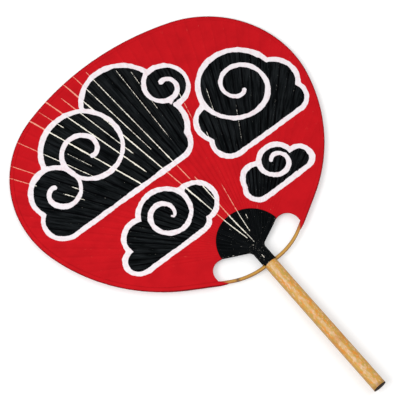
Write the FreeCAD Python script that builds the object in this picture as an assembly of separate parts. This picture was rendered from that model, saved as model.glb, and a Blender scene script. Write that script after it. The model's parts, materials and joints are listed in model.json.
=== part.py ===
import FreeCAD, Part
import math
import os

# Round paper fan on a bamboo handle, lying face up.
# Origin: centre of the handle's butt face. +Y runs up the handle, +Z is the front of the fan.

# Handle
HANDLE_DIAMETER = 11.0
HANDLE_TOP = 132.2          # where the culm is split into ribs
CULM_BORE = 6.6
NODE_WALL = 2.5             # natural partition inside the culm
NODE_RIDGE = 0.15           # how far the culm swells round it
NODE_BELOW_BOW = 8.0
PLUG_HEAD = 0.4
PLUG_STEM = 10.0
PLUG_EDGE_ROUND = 0.15
PLUG_CLEARANCE = 0.05

# Bow
BOW_WIDTH = 3.0             # middle of the stick
BOW_THICKNESS = 2.3
BOW_ENTRY_WIDTH = 2.8       # where it goes in between the papers
BOW_ENTRY_THICKNESS = 1.25
BOW_END_WIDTH = 1.8
BOW_END_THICKNESS = 0.8
BOW_CHAMFER_SHARE = 0.29    # of the thickness, off each corner
BOW_BELOW_SPLIT = 2.1
BOW_STRAIGHT_MARGIN = 0.8   # straight stretch on each side of the handle
BOW_BEND_RADIUS = 58.7
BOW_BEND_ANGLE = 30.5       # degrees
BOW_PAST_THREAD = 3.0       # end of the stick, beyond the place where the thread is tied
BOW_HOLE_CLEARANCE = 0.06
BEND_STATIONS = 6

# Ribs
RIB_COUNT = 45
RIB_SPREAD = 62.0           # degrees from the axis to the outermost rib
RIB_WIDTH = 1.0
RIB_THICKNESS = 0.8
RIB_ROOT = 0.5              # square section at the split line
RIB_BEND = 4.0              # length of the turn on each side of its corner
RIB_FLAT_RADIUS = 37.0      # ribs lie in one plane from here out
RIB_TIP_INSET = 2.5
FAN_ABOVE_SPLIT = 10.8      # centre from which the ribs spread
FLATTEN_SHARES = (0.35, 0.7)

# Binding thread
THREAD_RADIUS = 78.0        # from the centre of the ribs
THREAD_SIZE = 0.22
THREAD_CLEARANCE = 0.03
LASHING_WALL = 0.2
LASHING_LENGTH = 3.0
LASHING_CLEARANCE = 0.02

# Papers
PAPER_THICKNESS = 0.25
PAPER_LEVEL = 0.7           # inner face of each face paper, from the middle plane
HEAD_WIDTH = 267.0
HEAD_ABOVE_SPLIT = 226.4
WIDEST_ABOVE_SPLIT = 130.6
CROWN_LEAD_SHARE = 0.277    # of the half width
SIDE_LEAD_SHARE = 0.102     # of the height from flank to widest place
FLANK_STRAIGHT = 26.0
BOW_INSET = 2.2             # bow's middle line to the paper's lower edge
STRIP_WIDTH = 3.5
STRIP_THICKNESS = 0.2

# Windows and neck
WINDOW_REACH = 41.6         # outer side, from the axis
WINDOW_END_RADIUS = 10.5
WINDOW_LEAST_STRAIGHT = 2.5     # a shorter straight beside the scallop is left out
WINDOW_MARGIN = 1.1         # paper beyond the outermost rib
NECK_CORNER_RADIUS = 4.5
NECK_PASTE = 0.1            # between the ring of ribs and its paper
NECK_LAP = 2.6              # paper over the top of the culm
NECK_BOW_CLEARANCE = 0.15
SCALLOP_ABOVE_SPLIT = 20.8
SCALLOP_RADIUS = 28.1

# One overrun for all cuts
OVERRUN = 5.0

# Worked out from the sizes above
HANDLE_RADIUS = HANDLE_DIAMETER / 2
BOW_Y = HANDLE_TOP - BOW_BELOW_SPLIT
FAN_Y = HANDLE_TOP + FAN_ABOVE_SPLIT
CROWN_Y = HANDLE_TOP + HEAD_ABOVE_SPLIT
PAPER_OUTSIDE = PAPER_LEVEL + PAPER_THICKNESS
RING_RADIUS = HANDLE_RADIUS - RIB_ROOT / 2
NECK_INSIDE = HANDLE_RADIUS + NECK_PASTE
NECK_OUTSIDE = NECK_INSIDE + PAPER_THICKNESS
BEND = math.radians(BOW_BEND_ANGLE)
SPREAD = math.radians(RIB_SPREAD)
QUARTER = math.pi / 2
MIDDLE_LEAD = RING_RADIUS * QUARTER / SPREAD    # centre of the fan to the turn of the middle rib


def vec(x, y, z=0):
    return FreeCAD.Vector(x, y, z)


UP = vec(0, 0, 1)
ALONG = vec(0, 1, 0)
ACROSS = vec(1, 0, 0)
FAN = vec(0, FAN_Y)
EDGE_HEADING = vec(math.sin(SPREAD), math.cos(SPREAD))
EDGE_NORMAL = vec(math.cos(SPREAD), -math.sin(SPREAD))
EDGE_FOOT = FAN + EDGE_NORMAL * (RIB_WIDTH / 2 + WINDOW_MARGIN)
TAIL_HEADING = vec(math.cos(BEND), math.sin(BEND))
TAIL_NORMAL = vec(math.sin(BEND), -math.cos(BEND))


# Plane geometry

def line(start, end):
    return Part.LineSegment(start, end).toShape()


def tangent_arc(start, heading, end):
    """Arc that leaves start along heading and reaches end."""
    chord = end - start
    middle = (start + end) / 2
    turn = heading.getAngle(chord)
    along = vec(*chord).normalize()
    side = (heading - along * heading.dot(along)).normalize()
    crest = middle + side * (chord.Length / 2 * math.tan(turn / 2))
    return Part.Arc(start, crest, end).toShape()


def biarc(start, start_heading, end, end_heading, lead):
    """Two arcs in one smooth curve; lead is the tangent length of the first."""
    corner = start + start_heading * lead
    gap = end - corner
    tail = (gap.dot(gap) - lead ** 2) / (2 * (gap.dot(end_heading) + lead))
    far_corner = end - end_heading * tail
    joint = corner + (far_corner - corner) * (lead / (lead + tail))
    heading = (far_corner - corner).normalize()
    return [tangent_arc(start, start_heading, joint), tangent_arc(joint, heading, end)]


def both_sides(edges):
    return edges + [edge.mirror(vec(0, 0), ACROSS) for edge in edges]


def closed_face(edges):
    return Part.Face(Part.Wire(Part.__sortEdges__(edges)))


def four_sided(middle, half_width, half_height):
    corners = [
        middle + half_width + half_height,
        middle - half_width + half_height,
        middle - half_width - half_height,
        middle + half_width - half_height,
    ]
    return Part.makePolygon(corners + corners[:1])


def slab(face, low, high):
    placed = face.copy()
    placed.translate(UP * low)
    return placed.extrude(UP * (high - low))


def edge_point_at(x):
    """Point of the window's upper edge at a given distance from the axis."""
    return EDGE_FOOT + EDGE_HEADING * ((x - EDGE_FOOT.x) / EDGE_HEADING.x)


def smooth_step(share):
    return share * share * (3 - 2 * share)


# Named places on the right side, in the middle plane

BOW_STRAIGHT = HANDLE_RADIUS + BOW_STRAIGHT_MARGIN
BEND_CENTRE = vec(BOW_STRAIGHT, BOW_Y + BOW_BEND_RADIUS)
BEND_END = BEND_CENTRE + TAIL_NORMAL * BOW_BEND_RADIUS
FLANK_FOOT = BEND_END + TAIL_NORMAL * BOW_INSET
PAPER_CORNER = FLANK_FOOT + TAIL_HEADING * ((WINDOW_REACH - FLANK_FOOT.x) / TAIL_HEADING.x)
FLANK_END = PAPER_CORNER + TAIL_HEADING * FLANK_STRAIGHT
WIDEST = vec(HEAD_WIDTH / 2, HANDLE_TOP + WIDEST_ABOVE_SPLIT)
CROWN = vec(0, CROWN_Y)
TAIL_ENTRY = (PAPER_CORNER.x - BEND_END.x) / TAIL_HEADING.x
TAIL_STRAIGHT = (FLANK_END - BEND_END).dot(TAIL_HEADING)
SCALLOP = vec(0, HANDLE_TOP + SCALLOP_ABOVE_SPLIT)
NECK_CORNER = edge_point_at(NECK_OUTSIDE)
CORNER_TANGENT = NECK_CORNER_RADIUS / math.tan((math.pi - SPREAD) / 2)


def meet_circle(start, heading, centre, radius):
    """Distance along a line to where it leaves a circle."""
    offset = start - centre
    half = offset.dot(heading)
    return -half + math.sqrt(half * half - offset.dot(offset) + radius * radius)


SCALLOP_END = EDGE_FOOT + EDGE_HEADING * meet_circle(EDGE_FOOT, EDGE_HEADING, SCALLOP, SCALLOP_RADIUS)


def window_end():
    """Where the window's round end starts on its side, and where it stops on its upper edge."""
    corner = edge_point_at(WINDOW_REACH)
    tangent = WINDOW_END_RADIUS / math.tan(SPREAD / 2)
    straight = (corner - SCALLOP_END).dot(EDGE_HEADING) - tangent
    if straight > WINDOW_LEAST_STRAIGHT:
        return corner - ALONG * tangent, corner - EDGE_HEADING * tangent
    over_end = vec(WINDOW_REACH - WINDOW_END_RADIUS, SCALLOP_END.y)
    drop = meet_circle(over_end, ALONG * -1, SCALLOP_END, WINDOW_END_RADIUS)
    return vec(WINDOW_REACH, SCALLOP_END.y - drop), SCALLOP_END


WINDOW_SIDE, WINDOW_TOP = window_end()


# Outlines

def side_edges():
    """Right side of the rim, from its widest place down to the end of the flank."""
    lead = (WIDEST.y - FLANK_END.y) * SIDE_LEAD_SHARE
    return biarc(WIDEST, ALONG * -1, FLANK_END, TAIL_HEADING * -1, lead)


def rim_edges():
    """Right half of the head's rim, from the crown to the foot of the flank."""
    top = biarc(CROWN, ACROSS, WIDEST, ALONG * -1, HEAD_WIDTH / 2 * CROWN_LEAD_SHARE)
    return top + side_edges() + [line(FLANK_END, PAPER_CORNER)]


def rim_face():
    """The whole head, closed straight across the windows."""
    closing = line(PAPER_CORNER, vec(-PAPER_CORNER.x, PAPER_CORNER.y))
    return closed_face(both_sides(rim_edges()) + [closing])


def scallop_arc():
    top = SCALLOP + ALONG * SCALLOP_RADIUS
    return Part.Arc(SCALLOP_END, top, vec(-SCALLOP_END.x, SCALLOP_END.y)).toShape()


def face_paper(low, high):
    window_edges = [
        line(PAPER_CORNER, WINDOW_SIDE),
        tangent_arc(WINDOW_SIDE, ALONG, WINDOW_TOP),
    ]
    if WINDOW_TOP != SCALLOP_END:
        window_edges.append(line(WINDOW_TOP, SCALLOP_END))
    face = closed_face(both_sides(rim_edges() + window_edges) + [scallop_arc()])
    return slab(face, low, high)


def edge_strip():
    """Strip folded round the rim, open at the windows."""
    rim = rim_face()
    top = PAPER_OUTSIDE + STRIP_THICKNESS
    around = slab(rim.makeOffset2D(STRIP_THICKNESS), -top, top)
    papers = slab(rim, -PAPER_OUTSIDE, PAPER_OUTSIDE)
    inside = slab(rim.makeOffset2D(-STRIP_WIDTH), -top - OVERRUN, top + OVERRUN)
    between = Part.makeBox(
        WINDOW_REACH * 2,
        SCALLOP.y - BOW_Y + OVERRUN,
        (top + OVERRUN) * 2,
        vec(-WINDOW_REACH, BOW_Y - OVERRUN, -top - OVERRUN),
    )
    return around.cut([papers, inside, between])


# Handle

def node_ridge(node_top):
    """Low swelling of the culm round its partition."""
    half = NODE_WALL / 2
    crest = HANDLE_RADIUS + NODE_RIDGE
    lower = Part.makeCone(HANDLE_RADIUS, crest, half, vec(0, node_top - NODE_WALL), ALONG)
    upper = Part.makeCone(crest, HANDLE_RADIUS, half, vec(0, node_top - half), ALONG)
    return [lower, upper]


def handle():
    node_top = BOW_Y - NODE_BELOW_BOW
    tube = Part.makeCylinder(HANDLE_RADIUS, HANDLE_TOP - PLUG_HEAD, vec(0, PLUG_HEAD), ALONG)
    culm = tube.fuse(node_ridge(node_top)).removeSplitter()
    lower = Part.makeCylinder(CULM_BORE / 2, node_top - NODE_WALL, vec(0, 0), ALONG)
    upper = Part.makeCylinder(CULM_BORE / 2, HANDLE_TOP - node_top + OVERRUN, vec(0, node_top), ALONG)
    hole_start = vec(-HANDLE_RADIUS - OVERRUN, BOW_Y)
    hole = Part.makeCylinder(bow_hole_radius(), (HANDLE_RADIUS + OVERRUN) * 2, hole_start, ACROSS)
    return culm.cut([lower, upper, hole])


def handle_plug():
    head = Part.makeCylinder(HANDLE_RADIUS, PLUG_HEAD, vec(0, 0), ALONG)
    rim = [edge for edge in head.Edges if edge.Closed and edge.CenterOfMass.y < PLUG_HEAD / 2]
    stem = Part.makeCylinder(CULM_BORE / 2 - PLUG_CLEARANCE, PLUG_STEM, vec(0, PLUG_HEAD), ALONG)
    return head.makeFillet(PLUG_EDGE_ROUND, rim).fuse(stem)


# Bow

def bow_hole_radius():
    shave = BOW_THICKNESS * BOW_CHAMFER_SHARE
    side_corner = math.hypot(BOW_WIDTH / 2, BOW_THICKNESS / 2 - shave)
    top_corner = math.hypot(BOW_WIDTH / 2 - shave, BOW_THICKNESS / 2)
    return max(side_corner, top_corner) + BOW_HOLE_CLEARANCE


def eight_sided(centre, side, width, thickness):
    """Rectangle with its corners shaved off, across the stick."""
    shave = thickness * BOW_CHAMFER_SHARE
    half_w = width / 2
    half_t = thickness / 2
    quarter = [(half_w, half_t - shave), (half_w - shave, half_t)]
    corners = quarter + [(-a, b) for a, b in reversed(quarter)]
    corners = corners + [(-a, -b) for a, b in corners]
    points = [centre + side * a + UP * b for a, b in corners]
    return Part.makePolygon(points + points[:1])


SIDE_ARC = side_edges()[1].Curve
TAIL_RADIUS = SIDE_ARC.Radius - BOW_INSET


def tail_place(distance):
    """Middle of the bow and its outward normal: straight along the flank, then round with the rim."""
    if distance < TAIL_STRAIGHT:
        return BEND_END + TAIL_HEADING * distance, TAIL_NORMAL
    turned = BEND + (distance - TAIL_STRAIGHT) / TAIL_RADIUS
    normal = vec(math.sin(turned), -math.cos(turned))
    return SIDE_ARC.Center + normal * TAIL_RADIUS, normal


def tie_distance():
    """Distance from the end of the bend to where the bow crosses the thread's circle."""
    crossing = meet_circle(BEND_END, TAIL_HEADING, FAN, THREAD_RADIUS)
    if crossing < TAIL_STRAIGHT:
        return crossing
    offset = SIDE_ARC.Center - FAN
    level = (THREAD_RADIUS ** 2 - offset.dot(offset) - TAIL_RADIUS ** 2) / (2 * TAIL_RADIUS)
    turned = math.atan2(offset.y, offset.x) + math.asin(level / offset.Length)
    return TAIL_STRAIGHT + (turned - BEND) * TAIL_RADIUS


TIE = tie_distance()
LASHING_ENDS = (TIE - LASHING_LENGTH / 2, TIE + LASHING_LENGTH / 2)
TAIL_END = TIE + BOW_PAST_THREAD


def bow_size(distance):
    """Width and thickness of the bow at a distance from the end of its bend, negative before it."""
    start = -BOW_BEND_RADIUS * BEND
    if distance < TAIL_ENTRY:
        share = (distance - start) / (TAIL_ENTRY - start)
        sizes = ((BOW_WIDTH, BOW_ENTRY_WIDTH), (BOW_THICKNESS, BOW_ENTRY_THICKNESS))
    else:
        share = (distance - TAIL_ENTRY) / (TAIL_END - TAIL_ENTRY)
        sizes = ((BOW_ENTRY_WIDTH, BOW_END_WIDTH), (BOW_ENTRY_THICKNESS, BOW_END_THICKNESS))
    return [first + (last - first) * share for first, last in sizes]


def tail_section(distance, grow):
    width, thickness = bow_size(distance)
    place, normal = tail_place(distance)
    return eight_sided(place, normal, width + grow * 2, thickness + grow * 2)


def bow_sections():
    """Right half, from the middle of the handle outwards."""
    sections = [eight_sided(vec(BOW_STRAIGHT, BOW_Y), ALONG * -1, BOW_WIDTH, BOW_THICKNESS)]
    for station in range(1, BEND_STATIONS):
        turned = BEND * station / BEND_STATIONS
        normal = vec(math.sin(turned), -math.cos(turned))
        width, thickness = bow_size((turned - BEND) * BOW_BEND_RADIUS)
        sections.append(eight_sided(BEND_CENTRE + normal * BOW_BEND_RADIUS, normal, width, thickness))
    for distance in sorted((0, TAIL_ENTRY, TAIL_STRAIGHT, *LASHING_ENDS, TAIL_END)):
        sections.append(tail_section(distance, 0))
    return sections


def bow():
    """One stick: both bent halves and the straight middle between them."""
    right = Part.makeLoft(bow_sections(), True, True)
    left = right.mirror(vec(0, 0), ACROSS)
    middle = eight_sided(vec(-BOW_STRAIGHT, BOW_Y), ALONG * -1, BOW_WIDTH, BOW_THICKNESS)
    straight = Part.Face(middle).extrude(ACROSS * (BOW_STRAIGHT * 2))
    return straight.fuse([right, left]).removeSplitter()


# Ribs

def rib_places():
    """Direction in the fan, and place round the ring, of each rib: even ones in front."""
    front_count = (RIB_COUNT + 1) // 2
    back_count = RIB_COUNT // 2
    for number in range(RIB_COUNT):
        direction = SPREAD * (2 * number / (RIB_COUNT - 1) - 1)
        in_front = number % 2 == 0
        count = front_count if in_front else back_count
        round_ring = QUARTER * ((2 * (number // 2) + 1) / count - 1)
        yield number, direction, round_ring, 1 if in_front else -1


def rib_section(place, heading, width, thickness, twist):
    side = vec(heading.y, -heading.x)
    across = side * math.cos(twist) - UP * math.sin(twist)
    upward = UP * math.cos(twist) + side * math.sin(twist)
    return four_sided(place, across * (width / 2), upward * (thickness / 2))


def rib(direction, round_ring, facing, tip_wire):
    """Sliver that leaves the ring straight, turns outwards and comes down into the middle plane."""
    heading = vec(math.sin(direction), math.cos(direction))
    ring_x = RING_RADIUS * math.sin(round_ring)
    ring_z = RING_RADIUS * math.cos(round_ring) * facing
    lead = MIDDLE_LEAD if math.isclose(direction, 0) else ring_x / heading.x
    corner = FAN + heading * lead
    bend_start = corner - ALONG * RIB_BEND
    bend_end = corner + heading * RIB_BEND
    bend_middle = (bend_start + corner * 2 + bend_end) / 4
    flat = FAN + heading * RIB_FLAT_RADIUS
    far = FAN + heading * (HEAD_WIDTH + HEAD_ABOVE_SPLIT)
    tip = tip_wire.distToShape(line(flat, far))[1][0][0]
    quarter_turns = round(round_ring / QUARTER)
    twist = (round_ring - QUARTER * quarter_turns) * facing
    between = (ALONG + heading).normalize()
    run = (flat - bend_end).Length
    slope = RIB_BEND * 2 + run
    route = [
        (vec(ring_x, HANDLE_TOP), ALONG, 0),
        (bend_start, ALONG, 0),
        (bend_middle, between, RIB_BEND / slope),
        (bend_end, heading, RIB_BEND * 2 / slope),
    ]
    for share in FLATTEN_SHARES:
        travelled = RIB_BEND * 2 + run * share
        route.append((bend_end + heading * (run * share), heading, travelled / slope))
    route += [(flat, heading, 1), (tip, heading, 1)]
    sections = []
    for place, way, share in route:
        settled = smooth_step(share)
        width = RIB_ROOT + (RIB_WIDTH - RIB_ROOT) * settled
        thickness = RIB_ROOT + (RIB_THICKNESS - RIB_ROOT) * settled
        lifted = place + UP * (ring_z * (1 - settled))
        sections.append(rib_section(lifted, way, width, thickness, twist * (1 - settled)))
    return Part.makeLoft(sections, True, True)


# Binding thread

def thread_section(direction, height):
    outward = vec(math.sin(direction), math.cos(direction))
    place = FAN + outward * THREAD_RADIUS + UP * height
    return four_sided(place, outward * (THREAD_SIZE / 2), UP * (THREAD_SIZE / 2))


def binding_thread():
    """Runs under and over the ribs from one end of the bow to the other, and is tied round both."""
    knot = tail_place(TIE)[0] - FAN
    reach = math.atan2(knot.x, knot.y)
    over = RIB_THICKNESS / 2 + THREAD_SIZE / 2 + THREAD_CLEARANCE
    beside = (RIB_WIDTH / 2 + THREAD_SIZE) / THREAD_RADIUS
    sections = [thread_section(-reach, 0)]
    for number, direction, round_ring, facing in rib_places():
        sections.append(thread_section(direction - beside, -over * facing))
        sections.append(thread_section(direction + beside, -over * facing))
    sections.append(thread_section(reach, 0))
    weave = Part.makeLoft(sections, True, True)
    start, stop = LASHING_ENDS
    outer = LASHING_CLEARANCE + LASHING_WALL
    wrap = Part.makeLoft([tail_section(place, outer) for place in (start, stop)], True, True)
    held = [tail_section(place, LASHING_CLEARANCE) for place in (start - LASHING_LENGTH, start, stop)]
    stick = Part.makeLoft(held, True, True)
    mirrored = [shape.mirror(vec(0, 0), ACROSS) for shape in (wrap, stick)]
    return weave.fuse([wrap, mirrored[0]]).cut([stick, mirrored[1]])


# Neck paper

def arch(foot, crest):
    """Arc from foot over the axis to the other side, or a line where it has come down flat."""
    other = vec(-foot.x, foot.y, foot.z)
    top = vec(0, foot.y, crest)
    if math.isclose(crest, foot.z):
        return line(foot, other)
    return Part.Arc(foot, top, other).toShape()


def neck_section(y, half_width, lift):
    """Section of the sheet over the neck: a half ring at lift 0, a low arch at lift 1."""
    start = FAN_Y + MIDDLE_LEAD - RIB_BEND
    settled = smooth_step(min(max((y - start) / (FAN_Y + RIB_FLAT_RADIUS - start), 0), 1))
    crest = NECK_INSIDE + (PAPER_LEVEL - NECK_INSIDE) * settled
    inner_x = half_width - PAPER_THICKNESS * (1 - lift)
    inner_z = PAPER_LEVEL * lift
    outer_z = PAPER_OUTSIDE * lift
    outer = arch(vec(half_width, y, outer_z), crest + PAPER_THICKNESS)
    inner = arch(vec(inner_x, y, inner_z), crest)
    ends = [line(vec(x, y, outer_z), vec(x - sink, y, inner_z)) for x, sink in (
        (half_width, half_width - inner_x), (-half_width, inner_x - half_width))]
    return Part.Wire(Part.__sortEdges__([outer, ends[0], inner, ends[1]]))


def neck_lap():
    """Lower end of the sheet, over the top of the culm and on both sides clear of the bow."""
    foot = vec(0, HANDLE_TOP - NECK_LAP)
    outer = Part.makeCylinder(NECK_OUTSIDE, NECK_LAP, foot, ALONG)
    inner = Part.makeCylinder(NECK_INSIDE, NECK_LAP, foot, ALONG)
    behind = Part.makeBox(
        NECK_OUTSIDE * 2,
        NECK_LAP,
        NECK_OUTSIDE + BOW_THICKNESS / 2 + NECK_BOW_CLEARANCE,
        foot - ACROSS * NECK_OUTSIDE - UP * NECK_OUTSIDE,
    )
    return outer.cut([inner, behind])


def neck_paper():
    """Sheet wrapped over the front of the ring of ribs, spreading into the scallop."""
    corner_start = NECK_CORNER.y - CORNER_TANGENT
    corner_end = NECK_CORNER + EDGE_HEADING * CORNER_TANGENT
    middle_y = (corner_start + corner_end.y) / 2
    middle_x = (NECK_CORNER.x * 3 + corner_end.x) / 4
    top = SCALLOP.y + SCALLOP_RADIUS + OVERRUN
    edge_places = [corner_end.x, (corner_end.x * 2 + SCALLOP_END.x) / 3, SCALLOP_END.x]
    sections = [
        neck_section(HANDLE_TOP, NECK_OUTSIDE, 0),
        neck_section(corner_start, NECK_OUTSIDE, 0),
        neck_section(middle_y, middle_x, 1 / 2),
    ]
    sections += [neck_section(edge_point_at(x).y, x, 1) for x in edge_places]
    for y in ((SCALLOP_END.y + SCALLOP.y + SCALLOP_RADIUS) / 2, top):
        x = EDGE_FOOT.x + EDGE_HEADING.x / EDGE_HEADING.y * (y - EDGE_FOOT.y)
        sections.append(neck_section(y, x, 1))
    sheet = Part.makeLoft(sections, True, True)
    disc = Part.makeCylinder(SCALLOP_RADIUS, HANDLE_DIAMETER * 2, SCALLOP - UP * HANDLE_DIAMETER)
    return sheet.common(disc).fuse(neck_lap()).removeSplitter()


def main():
    os.makedirs("parts", exist_ok=True)
    nodes = {
        "handle": handle(),
        "handle_plug": handle_plug(),
        "bow": bow(),
        "binding_thread": binding_thread(),
        "front_paper": face_paper(PAPER_LEVEL, PAPER_OUTSIDE),
        "back_paper": face_paper(-PAPER_OUTSIDE, -PAPER_LEVEL),
        "edge_strip": edge_strip(),
    }
    neck = neck_paper()
    nodes["front_neck_paper"] = neck
    nodes["back_neck_paper"] = neck.mirror(vec(0, 0), UP)
    tip_wire = rim_face().makeOffset2D(-RIB_TIP_INSET).OuterWire
    for number, direction, round_ring, facing in rib_places():
        nodes["rib_%02d" % (number + 1)] = rib(direction, round_ring, facing, tip_wire)
    for name, shape in nodes.items():
        shape.exportStep("parts/%s.step" % name)
        print(name, shape.isValid(), len(shape.Solids), round(shape.Volume, 3))


main()
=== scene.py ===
import bpy
import json
import math
import numpy as np
from dataclasses import dataclass, replace
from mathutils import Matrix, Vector

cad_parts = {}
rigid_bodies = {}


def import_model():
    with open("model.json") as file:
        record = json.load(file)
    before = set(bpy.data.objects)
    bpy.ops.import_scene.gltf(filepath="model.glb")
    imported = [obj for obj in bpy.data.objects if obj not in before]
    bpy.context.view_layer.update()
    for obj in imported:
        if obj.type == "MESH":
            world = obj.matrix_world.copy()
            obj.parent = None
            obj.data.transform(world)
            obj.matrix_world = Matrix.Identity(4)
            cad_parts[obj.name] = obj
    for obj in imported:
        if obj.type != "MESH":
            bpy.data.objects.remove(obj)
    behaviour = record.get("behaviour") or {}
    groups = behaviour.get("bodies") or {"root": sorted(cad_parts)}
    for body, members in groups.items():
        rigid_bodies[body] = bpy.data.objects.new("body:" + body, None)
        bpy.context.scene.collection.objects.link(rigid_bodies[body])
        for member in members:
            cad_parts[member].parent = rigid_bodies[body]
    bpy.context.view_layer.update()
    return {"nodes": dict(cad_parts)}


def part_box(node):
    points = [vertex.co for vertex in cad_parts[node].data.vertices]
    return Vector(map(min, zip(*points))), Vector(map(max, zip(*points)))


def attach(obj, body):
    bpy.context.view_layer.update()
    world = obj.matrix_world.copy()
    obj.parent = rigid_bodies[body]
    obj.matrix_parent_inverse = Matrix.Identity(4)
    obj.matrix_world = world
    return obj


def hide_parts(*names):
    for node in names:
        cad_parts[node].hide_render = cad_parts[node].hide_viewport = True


for stray in list(bpy.data.objects):
    bpy.data.objects.remove(stray)
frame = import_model()

# Lengths are in millimetres and angles in degrees, unless a comment says otherwise
MM = 0.001                  # metres

# Camera, floor and light
CAMERA_AZIMUTH = -38.87
CAMERA_ELEVATION = 66.2
CAMERA_DISTANCE = 1400.0
CAMERA_TARGET = (-9.2, 206.2, 0.0)
CAMERA_LENS = 158.8
SENSOR_WIDTH = 36.0
CLIP_END = 100.0            # metres
FLOOR_HALF = 6000.0
FLOOR_CORNERS = ((-1, -1), (1, -1), (1, 1), (-1, 1))
NECK_REST = (138.0, -5.95)  # y and z where the fan lies on the floor
CROWN_REST = (358.6, -1.25)
FLOOR_TONE = 0.8
FLOOR_LEAST_SHARE = 0.99    # of that tone, where the floor is darkest
FLOOR_ROUGHNESS = 0.9
FLOOR_LIFT = 0.3            # share of white that the camera sees without light, near the fan
FLOOR_FAR_LIFT = 0.6        # and where the lamps reach less
FLOOR_NEAR = 500.0
FLOOR_FAR = 2000.0
SKY_STRENGTH = 0.62
WHITE_LIGHT = (1, 1, 1, 1)
LAMP_RANGE = 1500.0
LAMPS = {                   # azimuth, elevation, width, watts
    "key": (-88.0, 50.0, 650.0, 10.0),
    "fill": (60.0, 60.0, 900.0, 3.0),
}

# Ribs, as in the frame
FAN_Y = 143.0               # centre from which the ribs spread
RIB_COUNT = 45
RIB_SPREAD = 62.0           # direction of the last rib
RIB_BEND = 4.0              # length before and after the corner where a rib turns outwards
RIB_FLAT_RADIUS = 37.0      # from here on the ribs lie in the middle plane
RING_RADIUS = 5.25
RING_SPREAD = 86.1          # turn of the last rib round the ring
TINY_ANGLE = 1e-6           # radians

# Face papers
INNER_REACH = 43.0          # a face paper's inner outline is nearer to the centre than this
CORNER_DIRECTION = 95.0     # its lower corners lie beyond this
MERGE_DIGITS = 4            # decimals that tell two points of an outline apart
OUTLINE_STEPS = 24          # from one of them to the next
SIDE_START = 65.0           # direction of the scallop's corner
SIDE_END = 92.0             # last column, under the edge strip
SIDE_COLUMNS = 36
ROWS = 78
ROW_EASE = 1.3              # rows lie closer together towards the rim
RIDGE_OFFSETS = (0.35, 0.7, 1.3, 2.1)
GAP_SHARES = (0.15, 0.3, 0.45, 0.6, 0.8, 1.0)
SHEET = 0.15
RIDGE = 0.95                # outer side of the paper over a rib
VALLEY = 0.62               # and between two ribs
RIB_TOP_HALF = 0.35
RIB_TOP_SHARE = 0.3
RIDGE_SLOPE = 1.3
FURROW_SHADE_START = 0.1          # painted shade: a dark line on one side of each rib
FURROW_SHADE_END = 2.1
FURROW_SHADE_EDGE = 0.5
FULL_GAP = 1.5              # half a gap in which the paper dips fully
SAG = 0.05
SAG_LENGTH = 11.0
SAG_PHASE = 2.4             # radians from rib to rib
UNDER_NECK = 2.0            # red paper under the edge of the black one
RIM_CLEARANCE = 0.15
RIM_PINCH = 3.0             # width over which the two papers close at the rim
RIM_PINCH_SHARE = 0.6
SKIRT_LEVEL = 0.05

# Bow
BOW_INSET = 2.2
BOW_REACH = 74.5            # direction of its ends
BOW_FADE = 1.5
BOW_HALF = 1.1
BOW_Y = 130.1
BOW_STRAIGHT = 6.3
BOW_BEND_RADIUS = 58.7
BOW_BEND_ANGLE = 30.5
BOW_WIDTHS = (3.0, 2.8, 1.8)
BOW_THICKNESSES = (2.3, 1.25, 0.8)
BOW_ENTRY_X = 41.6
BOW_STATIONS = 40           # along the bend, and along the tail
BOW_TAIL_POWER = 3
BOW_SIDES = 20
BOW_SQUARENESS = 3.2
BOW_SHARP = 60.0
BOW_KNOT_X = -29.0
BOW_KNOT_SWELL = 0.12
BOW_KNOT_LENGTH = 1.3
BOW_STAIN_START = 31.0      # red rubs off onto the bow from here to the paper
BOW_STAIN = 0.9

# Edge strip
STRIP_WIDTH = 3.5
STRIP_LIFT = 0.12
STRIP_SHEET = 0.08
STRIP_SHARES = (1.0, 0.75, 0.5, 0.25, 0.08)
# how much each row darkens along the fold
STRIP_DARKENING_SHARES = (0.0, 0.0, 0.0, 0.0, 0.7)
STRIP_FOLD = 0.18
STRIP_FOLD_SHARES = (0.7, 0.0)
TIP_COLUMNS = 10            # its ends taper along the underside of the bow
TIP_LEVEL = 0.74
TIP_MARGIN = 0.12
TIP_WIDTH_SHARE = 0.1

# Neck papers
SCALLOP_Y = 153.0
SCALLOP_RADIUS = 28.1
NECK_ROWS = 72
NECK_SHARES = (0.0, 0.2, 0.4, 0.6, 0.8)
NECK_RING_OFFSET = 0.58
NECK_LIFT = 0.13
NECK_SWELL = 0.15           # more room half way down the bend of the ribs
NECK_EDGE_MARGIN = 1.55
NECK_LAP = 2.6              # over the top of the culm, between the two arms of the bow
LAP_SIDE = 76.5             # turn round the ring at which the lap is cut back
LAP_FADE = 6.0
NECK_EDGE_SHARES = (0.35, 0.7, 0.98)

# Handle
HANDLE_RADIUS = 5.5
HANDLE_FOOT = 0.4
CULM_BORE = 3.3
NODE_LOW = 119.6
NODE_HIGH = 122.1
NODE_SWELL = 0.14
NODE_LENGTH = 1.1
HANDLE_ROWS = 240
HANDLE_SIDES = 112
HANDLE_SHARP = 40.0
HANDLE_OVAL = 0.05
HANDLE_TWIST = 143.0        # height in which the oval's phase shifts by a radian
HANDLE_SWAY = 0.04
HANDLE_SWAY_LENGTH = 17.0
FLUTE = 0.012
FLUTES = 26
HOLE_RADIUS = 1.64
DRILL_SIDES = 32
WELD_GAP = 1e-6             # metres

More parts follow.
